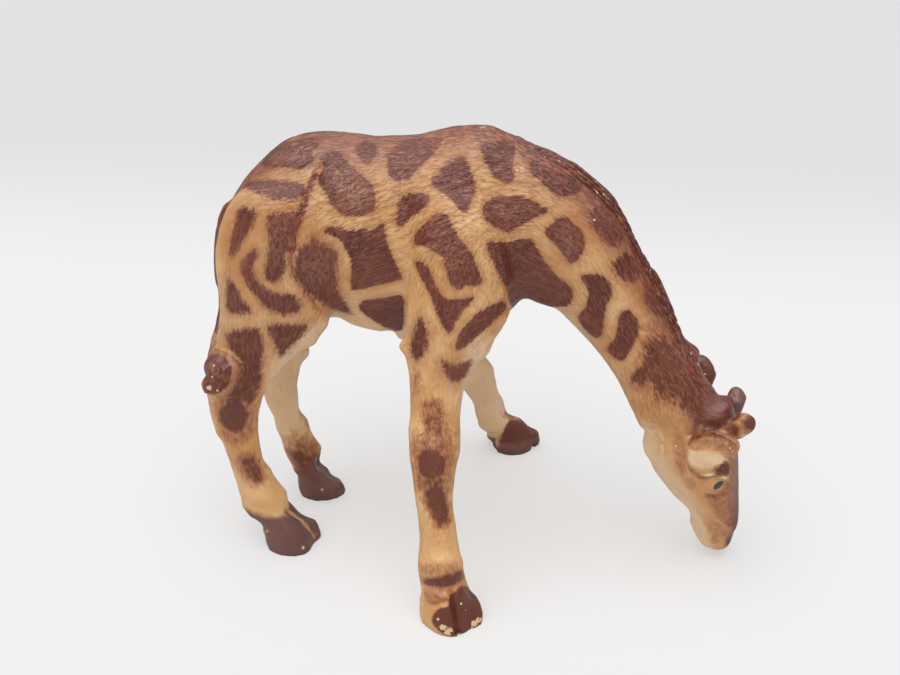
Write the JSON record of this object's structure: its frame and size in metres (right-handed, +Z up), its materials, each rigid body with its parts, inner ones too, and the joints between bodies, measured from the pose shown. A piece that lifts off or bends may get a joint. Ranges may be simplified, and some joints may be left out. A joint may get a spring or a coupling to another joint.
{
  "type": "toy giraffe figure",
  "caption": "Toy figure of a grazing giraffe calf in painted soft plastic, standing with spread forelegs and its head down.",
  "frame": {"origin": "on the floor, in the middle of the figure's outline seen from above", "axes": "+X the way the animal faces, +Y its left side, +Z up"},
  "size_m": [0.1176, 0.0862, 0.0952],
  "materials": {
    "torso_paint": "satin painted soft PVC, tan with reddish-brown patches",
    "neck_paint": "satin painted soft PVC, tan with reddish-brown patches",
    "head_paint": "satin painted soft PVC, pale tan with a rusty wash",
    "ear_paint": "satin painted soft PVC, rusty outside and cream inside",
    "horn_paint": "satin painted soft PVC, dark brown",
    "leg_paint": "satin painted soft PVC, tan with brown patches and dark hooves",
    "tail_paint": "satin painted soft PVC, tan with a dark brown tuft"
  },
  "bodies": {
    "root": {"torso": "torso_paint", "neck": "neck_paint", "head": "head_paint", "ear_right": "ear_paint", "ear_left": "ear_paint", "horn_right": "horn_paint", "horn_left": "horn_paint", "foreleg_right": "leg_paint", "foreleg_left": "leg_paint", "hindleg_right": "leg_paint", "hindleg_left": "leg_paint", "tail": "tail_paint"}
  },
  "joints": []
}
